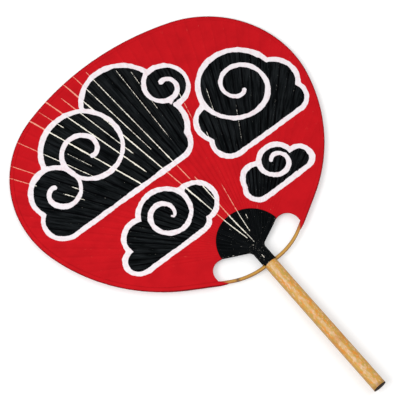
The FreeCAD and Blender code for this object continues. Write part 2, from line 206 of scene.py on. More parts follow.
# Worn ribs: number from the left, counted from 0; from and to along the rib; strength
TO_RIM = 300.0              # past the rim
WORN_RIBS = (
    (22, 6, 24, 0.6), (22, 16, 82, 0.9), (21, 80, 212, 0.74), (20, 122, TO_RIM, 0.72),
    (19, 12, 72, 0.72), (19, 60, TO_RIM, 1.0),
    (18, 130, 209, 0.74), (17, 112, TO_RIM, 1.0), (15, 108, TO_RIM, 1.05), (13, 145, TO_RIM, 0.7),
    (11, 188, TO_RIM, 0.8), (10, 184, TO_RIM, 0.75), (10, 144, 163, 0.65), (11, 147, 160, 0.63),
    (16, 188, TO_RIM, 0.66), (23, 120, 198, 0.55), (24, 146, 190, 0.53), (27, 124, 168, 0.58),
    (28, 94, 112, 0.6), (26, 16, 64, 0.64), (14, 150, 176, 0.48), (30, 120, 150, 0.42),
    (33, 96, 130, 0.38), (16, -15, -11, 0.5), (16, -9, -3, 0.6), (16, -1, 2, 0.4), (16, 4, 7, 0.5),
    (15, 1, 4, 0.45), (15, 5, 8, 0.5), (17, 27, 31, 0.5), (18, 31, 34, 0.42), (29, 27, 34, 0.55),
)
WORN_FADE = 2.0
WORN_ALL = 0.1              # faint wear that every rib has

# Printed clouds
CLOUDS = (
    {
        # x, y, radius
        "lobes": ((-92, 281, 21), (-54, 297, 34), (-4, 314, 31), (32, 303, 17)),
        # from x, to x, y, radius
        "bands": ((-104, 4, 260, 14), (-66, 4, 279, 23)),
        # lobe, lobe whose notch it starts from, hand, turns, last radius
        "curls": ((1, 2, -1, 1.35, 7.0), (0, 1, -1, 0.95, 6.0), (3, 2, 1, 0.95, 5.0)),
    },
    {
        "lobes": ((46, 251, 16), (79, 266, 31), (104, 251, 18)),
        "bands": ((42, 105, 232, 12), (55, 100, 245, 16)),
        "curls": ((1, 0, 1, 1.3, 6.5),),
    },
    {
        "lobes": ((-64, 208, 14), (-38, 213, 20), (-12, 207, 14)),
        "bands": ((-79, -23, 195, 9), (-56, -12, 204, 12)),
        "curls": ((1, 2, -1, 1.2, 5.5),),
    },
    {
        "lobes": ((39, 191, 11), (60, 194, 12.5)),
        "bands": ((33, 76, 185, 8),),
        "curls": ((1, 0, 1, 0.9, 4.5),),
    },
)
OUTLINE_WIDTH = 4.3
CURL_WIDTH = 4.0
CURL_EASE = 0.9
FAR = 1000.0                # farther than anything on the fan

# Worked out from the sizes above
SPREAD = math.radians(RIB_SPREAD)
PITCH = 2 * SPREAD / (RIB_COUNT - 1)
RING_TURN = RING_SPREAD / RIB_SPREAD
FULL_TURN = 2 * math.pi
HANDLE_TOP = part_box("handle")[1].y / MM


# Plain helpers

def smooth(share):
    """Smooth step from 0 to 1."""
    share = np.clip(share, 0, 1)
    return share * share * (3 - 2 * share)


def outward(azimuth, elevation):
    """Unit vector from the object towards a viewer; azimuth 0 stands before the butt end."""
    a = math.radians(azimuth)
    e = math.radians(elevation)
    return Vector((math.sin(a) * math.cos(e), -math.cos(a) * math.cos(e), math.sin(e)))


def polar(points):
    """Direction and distance from the centre of the fan."""
    return np.arctan2(points[:, 0], points[:, 1]), np.hypot(points[:, 0], points[:, 1])


def headings(path):
    """Unit vectors along a line of points."""
    step = np.gradient(path, axis=0)
    return step / np.linalg.norm(step, axis=1)[:, None]


def grid_faces(rows, columns, closed, flip):
    """Quads of a grid of points, row after row; closed joins the last column to the first."""
    last = columns if closed else columns - 1
    faces = []
    for row in range(rows - 1):
        for column in range(last):
            beside = (column + 1) % columns
            quad = (
                row * columns + column,
                row * columns + beside,
                (row + 1) * columns + beside,
                (row + 1) * columns + column,
            )
            faces.append(quad[::-1] if flip else quad)
    return faces


def tube_faces(rings, sides):
    """Faces of a tube of rings, closed at both ends."""
    last = (rings - 1) * sides
    ends = [tuple(range(sides))[::-1], tuple(range(last, last + sides))]
    return grid_faces(rings, sides, True, False) + ends


def make_piece(name, points, faces, material, slot, *nodes):
    """Smooth mesh piece that stands for some CAD nodes."""
    mesh = bpy.data.meshes.new(name)
    mesh.from_pydata((np.asarray(points, float).reshape(-1, 3) * MM).tolist(), [], faces)
    mesh.materials.append(material)
    mesh.shade_smooth()
    piece = bpy.data.objects.new(name, mesh)
    bpy.context.scene.collection.objects.link(piece)
    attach(piece, "root")
    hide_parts(*nodes)
    return piece


def set_attribute(piece, name, values):
    attribute = piece.data.attributes.new(name, "FLOAT", "POINT")
    attribute.data.foreach_set("value", np.asarray(values, np.float32).ravel())


def thicken(piece, thickness):
    solid = piece.modifiers.new("thickness", "SOLIDIFY")
    solid.thickness = thickness * MM
    solid.offset = -1
    solid.use_quality_normals = True


# Material building

def srgb(*levels):
    """Linear colour from 8-bit display values, by the standard curve."""
    shares = [level / 255 for level in levels]
    linear = [share / 12.92 if share < 0.04045 else ((share + 0.055) / 1.055) ** 2.4 for share in shares]
    return (*linear, 1.0)


@dataclass
class Layer:
    """Noise of some grain, and the levels of it between which a finish goes from first to last."""

    size: float
    detail: float = 3.0
    roughness: float = 0.55
    stretch: tuple = (1, 1, 1)
    low: float = 0.0
    high: float = 1.0
    first: float = 0.0
    last: float = 1.0


class Shader:
    """A material or sky under construction: most methods add nodes and return their output."""

    def __init__(self, name, kind=bpy.data.materials, surface="Principled BSDF"):
        self.made = kind.new(name)
        self.made.use_nodes = True
        self.nodes = self.made.node_tree.nodes
        self.links = self.made.node_tree.links
        self.surface = self.nodes[surface]

    def put(self, socket, value):
        if isinstance(value, bpy.types.NodeSocket):
            self.links.new(value, socket)
        else:
            socket.default_value = value

    def add(self, kind, inputs, output=0, **settings):
        node = self.nodes.new(kind)
        for key, value in settings.items():
            setattr(node, key, value)
        for key, value in inputs.items():
            self.put(node.inputs[key], value)
        return node.outputs[output]

    def attribute(self, name, output="Fac"):
        return self.add("ShaderNodeAttribute", {}, output, attribute_name=name)

    def squeeze(self, vector, stretch, unit=1):
        scale = [unit / length for length in stretch]
        return self.add("ShaderNodeMapping", {"Vector": vector, "Scale": scale})

    def place(self, stretch=(1, 1, 1)):
        """Object coordinates in millimetres, squeezed along each axis."""
        return self.squeeze(self.add("ShaderNodeTexCoord", {}, "Object"), stretch, 1 / MM)

    def axes(self, vector):
        return self.add("ShaderNodeSeparateXYZ", {0: vector}).node.outputs

    def vector(self, x, y, z):
        return self.add("ShaderNodeCombineXYZ", {0: x, 1: y, 2: z})

    def math(self, operation, *values):
        return self.add("ShaderNodeMath", dict(enumerate(values)), operation=operation)

    def ramp(self, value, low, high, first=0.0, last=1.0):
        """Smooth step from first at low to last at high."""
        inputs = {"Value": value, "From Min": low, "From Max": high, "To Min": first, "To Max": last}
        return self.add("ShaderNodeMapRange", inputs, interpolation_type="SMOOTHSTEP")

    def noise(self, layer, where=None):
        """Noise in object coordinates, or in those that the caller gives."""
        where = self.squeeze(where, layer.stretch) if where else self.place(layer.stretch)
        inputs = {"Scale": 1 / layer.size, "Detail": layer.detail, "Roughness": layer.roughness}
        return self.add("ShaderNodeTexNoise", {"Vector": where, **inputs}, "Fac")

    def levels(self, layer, noise):
        return self.ramp(noise, layer.low, layer.high, layer.first, layer.last)

    def layer(self, layer, where=None):
        return self.levels(layer, self.noise(layer, where))

    def swing(self, layer):
        """Noise that runs evenly from first to last."""
        return self.math("MULTIPLY_ADD", self.noise(layer), layer.last - layer.first, layer.first)

    def mix(self, share, first, second):
        return self.add("ShaderNodeMix", {0: share, 6: first, 7: second}, 2, data_type="RGBA")

    def roughness(self, noise, least, most):
        return self.ramp(noise, *ROUGHNESS_LEVELS, least, most)

    def seen_strength(self, unseen, seen):
        """One strength for scattered light, another for what shows straight, mirrored or through glass."""
        rays = self.add("ShaderNodeLightPath", {}).node.outputs
        shows = self.math("MAXIMUM", rays["Is Camera Ray"], rays["Is Glossy Ray"])
        shows = self.math("MAXIMUM", shows, rays["Is Transmission Ray"])
        return self.add("ShaderNodeMapRange", {"Value": shows, "To Min": unseen, "To Max": seen})

    def bump(self, height, depth):
        inputs = {"Height": height, "Distance": depth * MM, "Strength": 1.0}
        self.put(self.surface.inputs["Normal"], self.add("ShaderNodeBump", inputs))

    def finish(self, colour, roughness, **constants):
        self.put(self.surface.inputs["Base Color"], colour)
        self.put(self.surface.inputs["Roughness"], roughness)
        for name, value in constants.items():
            self.put(self.surface.inputs[name.replace("_", " ")], value)
        return self.made


# Finishes of the floor and the papers; roughness is given as its least and its most
ROUGHNESS_LEVELS = (0.3, 0.7)           # noise levels between which the roughness changes
FLOOR_MOTTLE = Layer(40.0, first=FLOOR_TONE * FLOOR_LEAST_SHARE, last=FLOOR_TONE)
RED = srgb(200, 24, 32)
RED_DEEP = srgb(172, 18, 26)
RED_RUBBED = srgb(226, 84, 74)
RED_EDGE = srgb(92, 12, 16)
BLACK = srgb(5, 7, 8)
# grey of streaks along the ribs, partly scuffs and partly painted sheen, and of worn specks
BLACK_SHEEN_AND_WEAR = srgb(31, 34, 36)
FURROW_SHADE_TONE = srgb(1, 1, 2)
WHITE = srgb(243, 236, 240)
WHITE_THIN = srgb(238, 205, 210)
CREAM = srgb(251, 245, 229)
SALMON = srgb(243, 160, 136)
CLOUDY = Layer(14.0, 4.0, low=0.3, high=0.75, last=0.45)
THREADS = Layer(1.6, 4.0, stretch=(1, 0.25, 1), low=0.62, high=0.85, last=0.22)
SCUFFS = Layer(2.2, 4.0, 0.65, (1, 4, 1), low=0.6, high=0.8, last=0.4)
SCUFF_BAND = (0.2, 1.3, 1.0, 0.0)       # from a rib's middle line, and the strength at both
# streaks along the ribs in the black, partly scuffs and partly painted sheen
PRINT_SCUFF_AND_SHEEN = Layer(1.5, 4.0, 0.65, (1, 12, 1), low=0.35, high=0.7)
NECK_SCUFF_AND_SHEEN = replace(PRINT_SCUFF_AND_SHEEN, last=0.4)
FURROW_SHADE_BREAKS = Layer(1.2, stretch=(1, 30, 1), low=0.3, high=0.54)
SPECKS = Layer(1.0, 2.0, low=0.68, high=0.78, last=0.5)
THINNING = Layer(2.4, 5.0, 0.7, low=0.45, high=0.8)
# noise that makes the strip unevenly darker along its fold
FOLD_DARKENING = Layer(6.0, 4.0, 0.6, low=0.3, high=0.65, first=0.55, last=0.95)
BRUSH_HAIRS = Layer(5.0, 4.0, 0.6, first=-0.65, last=0.65)
BRUSH_PRESSURE = Layer(21.0, 2.0, first=-1.3, last=1.3)
BRUSH_EDGE = 0.12
WEAR_WIDTH = 0.74                       # half width over a rib at full strength, before the loss
WEAR_LOSS = 0.27
WEAR_EDGE = 0.1
WEAR_WANDER = Layer(8.0, first=-0.45, last=0.45)
WEAR_RAGS = Layer(1.3, 4.0, 0.65, first=-0.55, last=0.55)
WORN_ROUGHNESS = 0.85
RIB_NOISE_STEP = 37.0                   # sets the noise on one rib apart from the next
PAPER_GRAIN = Layer(0.7, 5.0, 0.65)
WRINKLES = Layer(6.0, stretch=(1, 2, 1))
WRINKLE_STRENGTH = 2.0
PAPER_RELIEF = 0.05
PAPER_SPECULAR = 0.01
PRINT_ROUGHNESS = (0.48, 0.62)
RED_ROUGHNESS = (0.51, 0.65)
BLACK_ROUGHNESS = (0.43, 0.57)

# Finishes of the bamboo; tones are pale, golden and deep, bands end with the strength at both ends
FIBRES = Layer(1.0, 5.0, 0.65, (0.5, 0.5, 40.0), low=0.3, high=0.72)
MOTTLING = Layer(1.0, 4.0, 0.6, (1.2, 1.2, 16.0), low=0.5, high=0.72, last=0.6)
FLECKS = Layer(1.0, 2.0, 0.5, (0.8, 0.8, 1.8), low=0.72, high=0.78, last=0.75)
FLECK_TONE = srgb(104, 66, 28)
BAMBOO_RELIEF = 0.06
RIB_TONES = (srgb(232, 208, 160), srgb(216, 182, 122), srgb(184, 142, 84))
RIB_ROUGHNESS = (0.44, 0.6)
HANDLE_TONES = (srgb(211, 169, 86), srgb(204, 149, 55), srgb(178, 117, 40))
HANDLE_ROUGHNESS = (0.34, 0.5)
HANDLE_SPECULAR = 0.3
HANDLE_BLOOM = Layer(1.7, 4.0, 0.65, (1, 2.2, 1), low=0.53, high=0.6, last=0.75)
HANDLE_PATCHES = (
    (Layer(2.6, 3.0, 0.6, (1, 2.6, 1), low=0.49, high=0.57, last=0.9), srgb(222, 138, 40)),
    (Layer(1.9, 3.0, 0.6, (1, 2.4, 1), low=0.51, high=0.59, last=0.85), srgb(184, 156, 74)),
    (HANDLE_BLOOM, srgb(226, 182, 142)),
)
HIGHLIGHT_TURN = math.radians(22)          # from the front to the side that gets a painted highlight
HIGHLIGHT_BAND = (5.1, 5.46)               # from the axis towards that side
HIGHLIGHT_BREAKUP = replace(HANDLE_BLOOM, low=0.4, high=0.55, first=0.15, last=0.6)
HIGHLIGHT_TONE = srgb(218, 186, 152)
SHADED_BAND = (0.5, 3.2, 0.65, 0.0)
SHADED_TONE = srgb(168, 118, 42)
FLANK_SHADE_BAND = (-5.3, -4.3, 0.36, 0.0)    # across the handle; painted shade on its left flank
FLANK_SHADE_TONE = srgb(140, 112, 70)
SCAR_WANDER = Layer(2.0, stretch=(1, 3, 1), first=-3.0, last=3.0)
SCAR_START_BAND = (44.0, 46.0)          # up the handle
SCAR_END_BAND = (50.0, 53.0, 0.3, 0.0)
SCAR_TONE = srgb(176, 112, 40)
FOOT_BAND = (1.0, 4.0, 0.5, 0.0)
FOOT_TONE = srgb(120, 74, 32)
BOW_TONES = (srgb(206, 158, 66), srgb(186, 132, 38), srgb(130, 80, 22))
BOW_ROUGHNESS = (0.34, 0.5)
BOW_EDGE_BAND = (0.55, 1.3, 0.0, 0.85)  # from the bow's middle line
BOW_EDGE_TONE = srgb(118, 68, 20)
BOW_KNOT_STRENGTH = 0.85
BOW_KNOT_TONE = srgb(84, 48, 24)
BOW_STAIN_TONE = srgb(168, 58, 28)

# Finishes of the plug and the thread
PLUG_RINGS = {"Scale": 0.55, "Distortion": 3.0, "Detail": 3.0, "Detail Scale": 0.6}
PLUG_RING_LEVELS = (0.2, 0.9)
PLUG_PORES = Layer(1.0, 4.0, stretch=(0.5, 4, 0.5), low=0.55, high=0.75, last=0.6)
PLUG_DARK = srgb(20, 11, 8)
PLUG_PALE = srgb(36, 21, 14)
PLUG_PORE_TONE = srgb(20, 11, 7)
PLUG_RELIEF = 0.08
PLUG_ROUGHNESS = (0.6, 0.8)
PLUG_SPECULAR = 0.06
THREAD_TWIST = {"Scale": 2.5, "Distortion": 1.5, "Detail": 2.0}
THREAD_DARK = srgb(206, 196, 174)
THREAD_PALE = srgb(236, 230, 214)
THREAD_RELIEF = 0.05
THREAD_ROUGHNESS = (0.78, 0.92)


# Camera, floor and light

def aim(name, data, azimuth, elevation, distance):
    """Camera or lamp that is turned to the camera's target."""
    away = outward(azimuth, elevation)
    aimed = bpy.data.objects.new(name, data)
    aimed.location = (Vector(CAMERA_TARGET) + away * distance) * MM
    aimed.rotation_mode = "QUATERNION"
    aimed.rotation_quaternion = (-away).to_track_quat("-Z", "Y")
    bpy.context.scene.collection.objects.link(aimed)
    return aimed


def make_camera():
    data = bpy.data.cameras.new("camera")
    data.lens = CAMERA_LENS
    data.sensor_width = SENSOR_WIDTH
    data.clip_end = CLIP_END
    camera = aim("camera", data, CAMERA_AZIMUTH, CAMERA_ELEVATION, CAMERA_DISTANCE)
    bpy.context.scene.camera = camera


def floor_material():
    shader = Shader("floor")
    tone = shader.layer(FLOOR_MOTTLE)
    away = shader.add("ShaderNodeVectorMath", {0: shader.place()}, "Value", operation="LENGTH")
    lift = shader.ramp(away, FLOOR_NEAR, FLOOR_FAR, FLOOR_LIFT, FLOOR_FAR_LIFT)
    seen = shader.seen_strength(0.0, 1.0)
    shader.put(shader.surface.inputs["Emission Strength"], shader.math("MULTIPLY", lift, seen))
    shader.put(shader.surface.inputs["Emission Color"], WHITE_LIGHT)
    return shader.finish(tone, FLOOR_ROUGHNESS, Specular_IOR_Level=0.0)


def make_floor():
    """Pale plane that touches the neck and the far edge of the head."""
    (neck_y, neck_z), (crown_y, crown_z) = NECK_REST, CROWN_REST
    rise = (crown_z - neck_z) / (crown_y - neck_y)
    corners = []
    for side_x, side_y in FLOOR_CORNERS:
        y = FLOOR_HALF * side_y
        corners.append(Vector((FLOOR_HALF * side_x, y, neck_z + rise * (y - neck_y))) * MM)
    mesh = bpy.data.meshes.new("floor")
    mesh.from_pydata(corners, [], [(0, 1, 2, 3)])
    mesh.materials.append(floor_material())
    floor = bpy.data.objects.new("floor", mesh)
    bpy.context.scene.collection.objects.link(floor)


def make_lamps():
    for name, (azimuth, elevation, width, watts) in LAMPS.items():
        data = bpy.data.lights.new(name, "AREA")
        data.energy = watts
        data.size = width * MM
        aim(name, data, azimuth, elevation, LAMP_RANGE)


def make_sky():
    shader = Shader("sky", bpy.data.worlds, "Background")
    shader.put(shader.surface.inputs["Color"], WHITE_LIGHT)
    shader.put(shader.surface.inputs["Strength"], shader.seen_strength(SKY_STRENGTH, 1.0))
    bpy.context.scene.world = shader.made


# Ribs under the papers

def rib_direction(number):
    return SPREAD * (2 * number / (RIB_COUNT - 1) - 1)


def rib_lead(direction):
    """Distance from the centre of the fan to the turn of a rib."""
    safe = np.where(np.abs(direction) < TINY_ANGLE, TINY_ANGLE, direction)
    return RING_RADIUS * np.sin(safe * RING_TURN) / np.sin(safe)


def rib_settled(direction, past):
    """How far a rib has come down into the middle plane, at a length past the start of its turn."""
    return smooth(past / (RIB_FLAT_RADIUS - rib_lead(direction) + RIB_BEND))


def rib_lift(direction, radius):
    settled = rib_settled(direction, radius - rib_lead(direction) + RIB_BEND)
    return RING_RADIUS * np.clip(np.cos(direction * RING_TURN), 0, 1) * (1 - settled)


def nearest_rib(direction, radius):
    """Number of the nearest rib, and the signed distance from its middle line."""
    place = (direction / SPREAD + 1) * (RIB_COUNT - 1) / 2
    number = np.clip(np.rint(place), 0, RIB_COUNT - 1)
    return number, radius * np.sin(direction - rib_direction(number))


def ridge_height(direction, radius):
    """1 over a rib, falling to 0 between two, and how deep the paper may dip there."""
    half_gap = radius * PITCH / 2
    across = np.abs(nearest_rib(direction, radius)[1])
    top = np.minimum(RIB_TOP_HALF, half_gap * RIB_TOP_SHARE)
    slope = np.minimum(RIDGE_SLOPE, half_gap - top)
    return 1 - smooth((across - top) / slope), smooth(half_gap / FULL_GAP)


def rib_dip(direction, radius):
    ridge, depth = ridge_height(direction, radius)
    return (RIDGE - VALLEY) * depth * (1 - ridge)


def worn_share(direction, radius):
    """Strength of the wear on the nearest rib."""
    number = nearest_rib(direction, radius)[0]
    worn = np.full(np.shape(radius), WORN_ALL)
    for rib, start, stop, strength in WORN_RIBS:
        inside = smooth((radius - start) / WORN_FADE) * smooth((stop - radius) / WORN_FADE)
        worn = np.where(number == rib, np.maximum(worn, strength * inside), worn)
    return worn


# Outlines of the face papers, by direction from the centre of the fan

def outline(points):
    """Directions and radii along a line of points, close enough together to be read by direction."""
    corners = points[np.argsort(polar(points)[0])]
    steps = np.linspace(0, 1, OUTLINE_STEPS, endpoint=False)[:, None]
    dense = np.concatenate([a + (b - a) * steps for a, b in zip(corners, corners[1:])] + [corners[-1:]])
    return polar(dense)


def face_outlines():
    """Inner and outer outline of a face paper, from the corners of its solid."""
    node = frame["nodes"]["front_paper"].data
    points = np.array([vertex.co[:2] for vertex in node.vertices]) / MM - (0, FAN_Y)
    points = np.unique(np.round(points, MERGE_DIGITS), axis=0)
    direction, radius = polar(points)
    near = radius < INNER_REACH
    corner = np.abs(np.degrees(direction)) > CORNER_DIRECTION
    return outline(points[near]), outline(points[~near | corner])


INNER, OUTER = face_outlines()


def inner_radius(direction):
    """Inner edge of the red paper, a little way under the black one where they meet."""
    covered = smooth((math.radians(SIDE_START) - np.abs(direction)) / PITCH)
    return np.interp(direction, *INNER) - UNDER_NECK * covered


def rim_radius(direction):
    return np.interp(direction, *OUTER)


def rim_gap(direction, radius):
    """Distance to the rim, square to it."""
    rim = rim_radius(direction)
    change = rim_radius(direction + TINY_ANGLE) - rim_radius(direction - TINY_ANGLE)
    lean = change / (2 * TINY_ANGLE) / rim
    return (rim - radius) / np.sqrt(1 + lean * lean)


def sheet_level(direction, radius):
    """Outer side of a face paper over the middle plane."""
    number = nearest_rib(direction, radius)[0]
    ridge, depth = ridge_height(direction, radius)
    reached = smooth((np.abs(np.degrees(direction)) - BOW_REACH) / BOW_FADE)
    over_bow = 1 - smooth((np.abs(rim_gap(direction, radius) - BOW_INSET) - BOW_HALF) / RIDGE_SLOPE)
    low = (1 - ridge) * (1 - over_bow * reached) * depth
    sag = SAG * np.sin(radius / SAG_LENGTH + number * SAG_PHASE)
    level = rib_lift(direction, radius) + RIDGE - low * (RIDGE - VALLEY + sag)
    pinch = smooth(1 - rim_gap(direction, radius) / RIM_PINCH) * (1 - reached)
    return level * (1 - RIM_PINCH_SHARE * pinch)


# Print on the front

def notch(lobe, other):
    """Angle, seen from a lobe's middle, of the upper crossing of two outlines."""
    (x, y, r), (other_x, other_y, other_r) = lobe, other
    away = math.hypot(other_x - x, other_y - y)
    half = math.acos((away ** 2 + r ** 2 - other_r ** 2) / (2 * away * r))
    toward = math.atan2(other_y - y, other_x - x)
    return toward + half if other_x > x else toward - half


def curl_distance(x, y, lobe, start, hand, turns, last_radius):
    """Distance to a line that leaves a lobe's outline and winds inwards."""
    lobe_x, lobe_y, lobe_r = lobe
    first_radius = lobe_r + OUTLINE_WIDTH / 2
    away = np.hypot(x - lobe_x, y - lobe_y)
    around = (np.arctan2(y - lobe_y, x - lobe_x) - start) * hand % FULL_TURN
    nearest = np.full(np.shape(x), FAR)
    for lap in range(math.ceil(turns)):
        share = (around / FULL_TURN + lap) / turns
        radius = first_radius + (last_radius - first_radius) * np.clip(share, 0, 1) ** CURL_EASE
        nearest = np.where(share <= 1, np.minimum(nearest, np.abs(away - radius)), nearest)
    stop = start + hand * turns * FULL_TURN
    for angle, radius in ((start, first_radius), (stop, last_radius)):
        end = np.hypot(x - lobe_x - radius * math.cos(angle), y - lobe_y - radius * math.sin(angle))
        nearest = np.minimum(nearest, end)
    return nearest


def cloud_print(x, y):
    """Distances to the edge of the black and of the white, negative inside them."""
    black = np.full(np.shape(x), FAR)
    curls = np.full(np.shape(x), FAR)
    for cloud in CLOUDS:
        lobes = cloud["lobes"]
        for lobe_x, lobe_y, radius in lobes:
            black = np.minimum(black, np.hypot(x - lobe_x, y - lobe_y) - radius)
        for first_x, last_x, band_y, radius in cloud["bands"]:
            black = np.minimum(black, np.hypot(x - np.clip(x, first_x, last_x), y - band_y) - radius)
        for which, other, hand, turns, last_radius in cloud["curls"]:
            start = notch(lobes[which], lobes[other])
            line = curl_distance(x, y, lobes[which], start, hand, turns, last_radius)
            curls = np.minimum(curls, line - CURL_WIDTH / 2)
    outside = np.abs(black - OUTLINE_WIDTH / 2) - OUTLINE_WIDTH / 2
    return black, np.minimum(outside, curls)


# Paper materials

def rib_place(shader):
    """Coordinates across and along each rib, different for every one."""
    number = shader.math("MULTIPLY", shader.attribute("rib_number"), RIB_NOISE_STEP)
    return shader.vector(shader.attribute("across"), shader.attribute("along"), number)


def wear_mask(shader):
    """Where the paper is rubbed through over a rib: a ragged line that breaks up as the wear gets less."""
    worn = shader.attribute("worn")
    wander = shader.math("MULTIPLY", shader.swing(WEAR_WANDER), worn)
    reach = shader.math("ADD", shader.math("MULTIPLY_ADD", worn, WEAR_WIDTH, -WEAR_LOSS), wander)
    edge = shader.math("SUBTRACT", shader.attribute("across"), reach)
    edge = shader.math("ADD", edge, shader.swing(WEAR_RAGS))
    return shader.ramp(edge, -WEAR_EDGE, WEAR_EDGE, 1.0, 0.0)


def red_ground(shader):
    """Uneven red with pale fibres, scuffed along the ribs."""
    colour = shader.mix(shader.layer(CLOUDY), RED, RED_DEEP)
    colour = shader.mix(shader.layer(THREADS), colour, RED_RUBBED)
    over_rib = shader.ramp(shader.attribute("across"), *SCUFF_BAND)
    scuffed = shader.math("MULTIPLY", shader.layer(SCUFFS, rib_place(shader)), over_rib)
    return shader.mix(scuffed, colour, RED_RUBBED)


def black_ground(shader, streaks):
    """Black ink, greyer in streaks along the ribs, partly scuffs and partly painted sheen, and darkest in a
    painted shadow on one side of each rib.
    """
    along_rib = rib_place(shader)
    colour = shader.mix(shader.layer(streaks, along_rib), BLACK, BLACK_SHEEN_AND_WEAR)
    broken = shader.layer(FURROW_SHADE_BREAKS, along_rib)
    # painted shade on one side of each rib, broken along its length
    furrow_shade = shader.math("MULTIPLY", shader.attribute("furrow_shade"), broken)
    colour = shader.mix(furrow_shade, colour, FURROW_SHADE_TONE)
    return shader.mix(shader.layer(SPECKS), colour, BLACK_SHEEN_AND_WEAR)


def edge_mask(shader, name):
    """1 inside a printed shape, with the uneven edge of a brush."""
    distance = shader.math("ADD", shader.attribute(name), shader.swing(BRUSH_HAIRS))
    distance = shader.math("ADD", distance, shader.swing(BRUSH_PRESSURE))
    return shader.ramp(distance, -BRUSH_EDGE, BRUSH_EDGE, 1.0, 0.0)


def paper_surface(shader, colour, wear_and_highlight, roughness):
    """Wear, surface grain and roughness that all papers share."""
    worn = wear_mask(shader)
    grain = shader.noise(PAPER_GRAIN)
    wrinkles = shader.noise(WRINKLES, rib_place(shader))
    shader.bump(shader.math("MULTIPLY_ADD", wrinkles, WRINKLE_STRENGTH, grain), PAPER_RELIEF)
    dull = shader.roughness(grain, *roughness)
    dull = shader.math("MAXIMUM", dull, shader.math("MULTIPLY", worn, WORN_ROUGHNESS))
    return shader.finish(shader.mix(worn, colour, wear_and_highlight), dull, Specular_IOR_Level=PAPER_SPECULAR)


def printed_paper():
    shader = Shader("printed_paper")
    black = edge_mask(shader, "black")
    white = edge_mask(shader, "white")
    colour = shader.mix(black, red_ground(shader), black_ground(shader, PRINT_SCUFF_AND_SHEEN))
    colour = shader.mix(white, colour, shader.mix(shader.layer(THINNING), WHITE, WHITE_THIN))
    wear_and_highlight = shader.mix(white, shader.mix(black, SALMON, CREAM), WHITE)
    return paper_surface(shader, colour, wear_and_highlight, PRINT_ROUGHNESS)


def red_paper():
    shader = Shader("plain_red_paper")
    return paper_surface(shader, red_ground(shader), SALMON, RED_ROUGHNESS)


def black_paper():
    shader = Shader("black_paper")
    return paper_surface(shader, black_ground(shader, NECK_SCUFF_AND_SHEEN), CREAM, BLACK_ROUGHNESS)


def strip_paper():
    """Red like the faces, darker along the fold."""
    shader = Shader("strip_paper")
    dark = shader.math("MULTIPLY", shader.layer(FOLD_DARKENING), shader.attribute("fold"))
    return paper_surface(shader, shader.mix(dark, red_ground(shader), RED_EDGE), SALMON, RED_ROUGHNESS)


# Face papers

def sheet_columns():
    """Direction of each column's rib, its limit in millimetres and its signed share of half the gap."""
    limits = RIDGE_OFFSETS + (FAR,) * (len(GAP_SHARES) - len(RIDGE_OFFSETS))
    steps = list(zip(limits, GAP_SHARES))
    columns = []
    for number in range(RIB_COUNT):
        direction = rib_direction(number)
        before = steps[:-1] if number else steps[:len(RIDGE_OFFSETS)]
        after = steps if number < RIB_COUNT - 1 else steps[:len(RIDGE_OFFSETS)]
        columns += [(direction, limit, -share) for limit, share in reversed(before)]
        columns.append((direction, 0.0, 0.0))
        columns += [(direction, limit, share) for limit, share in after]
    side = [(angle, 0.0, 0.0) for angle in np.radians(np.linspace(SIDE_START, SIDE_END, SIDE_COLUMNS))]
    mirrored = [(-angle, limit, share) for angle, limit, share in reversed(side)]
    return np.array(mirrored + columns + side).T


def sheet_grid():
    """Directions and radii of a face paper's points, with columns that follow the ribs."""
    base, limit, share = sheet_columns()

    def direction_at(radius):
        offset = np.minimum(limit, np.abs(share) * radius * PITCH / 2)
        return base + np.sign(share) * offset / radius

    low = inner_radius(direction_at(inner_radius(base)))
    high = rim_radius(direction_at(rim_radius(base))) - RIM_CLEARANCE
    row_shares = 1 - np.linspace(1, 0, ROWS) ** ROW_EASE
    radius = low + (high - low) * row_shares[:, None]
    return direction_at(radius), radius


def face_sheet(name, node, material, facing):
    """One face paper, turned down to the middle plane along the windows."""
    direction, radius = sheet_grid()
    level = sheet_level(direction, radius)
    beside_window = smooth((np.abs(direction[0]) - math.radians(SIDE_START)) / PITCH)
    skirt = (level[0] - SHEET) * (1 - beside_window) + SKIRT_LEVEL * beside_window
    direction = np.vstack([direction[:1], direction])
    radius = np.vstack([radius[:1], radius])
    level = np.vstack([skirt[None], level])
    x = radius * np.sin(direction)
    y = FAN_Y + radius * np.cos(direction)
    faces = grid_faces(*radius.shape, False, facing < 0)
    piece = make_piece(name, np.dstack([x, y, level * facing]), faces, material, "red_paper", node)
    add_rib_attributes(piece, direction, radius)
    thicken(piece, SHEET)
    return piece, x, y


def add_rib_attributes(piece, direction, radius):
    """What the paper materials read at each point."""
    number, offset = nearest_rib(direction, radius)
    # painted shade on one side of each rib
    furrow_shade = smooth((offset - FURROW_SHADE_START) / FURROW_SHADE_EDGE) * smooth((FURROW_SHADE_END - offset) / FURROW_SHADE_EDGE)
    set_attribute(piece, "rib_number", number)
    set_attribute(piece, "across", np.abs(offset))
    set_attribute(piece, "furrow_shade", furrow_shade)
    set_attribute(piece, "along", radius)
    set_attribute(piece, "worn", worn_share(direction, radius))


def make_face_sheets():
    front, x, y = face_sheet("front_sheet", "front_paper", printed_paper(), 1)
    black, white = cloud_print(x, y)
    set_attribute(front, "black", black - OUTLINE_WIDTH / 2)
    set_attribute(front, "white", white)
    face_sheet("back_sheet", "back_paper", red_paper(), -1)


# Edge strip

def bow_bend_end():
    """Where the bow's bend ends on the right, and its outward normal there."""
    bend = math.radians(BOW_BEND_ANGLE)
    normal = np.array([math.sin(bend), -math.cos(bend)])
    return (BOW_STRAIGHT, BOW_Y + BOW_BEND_RADIUS) + normal * BOW_BEND_RADIUS, normal


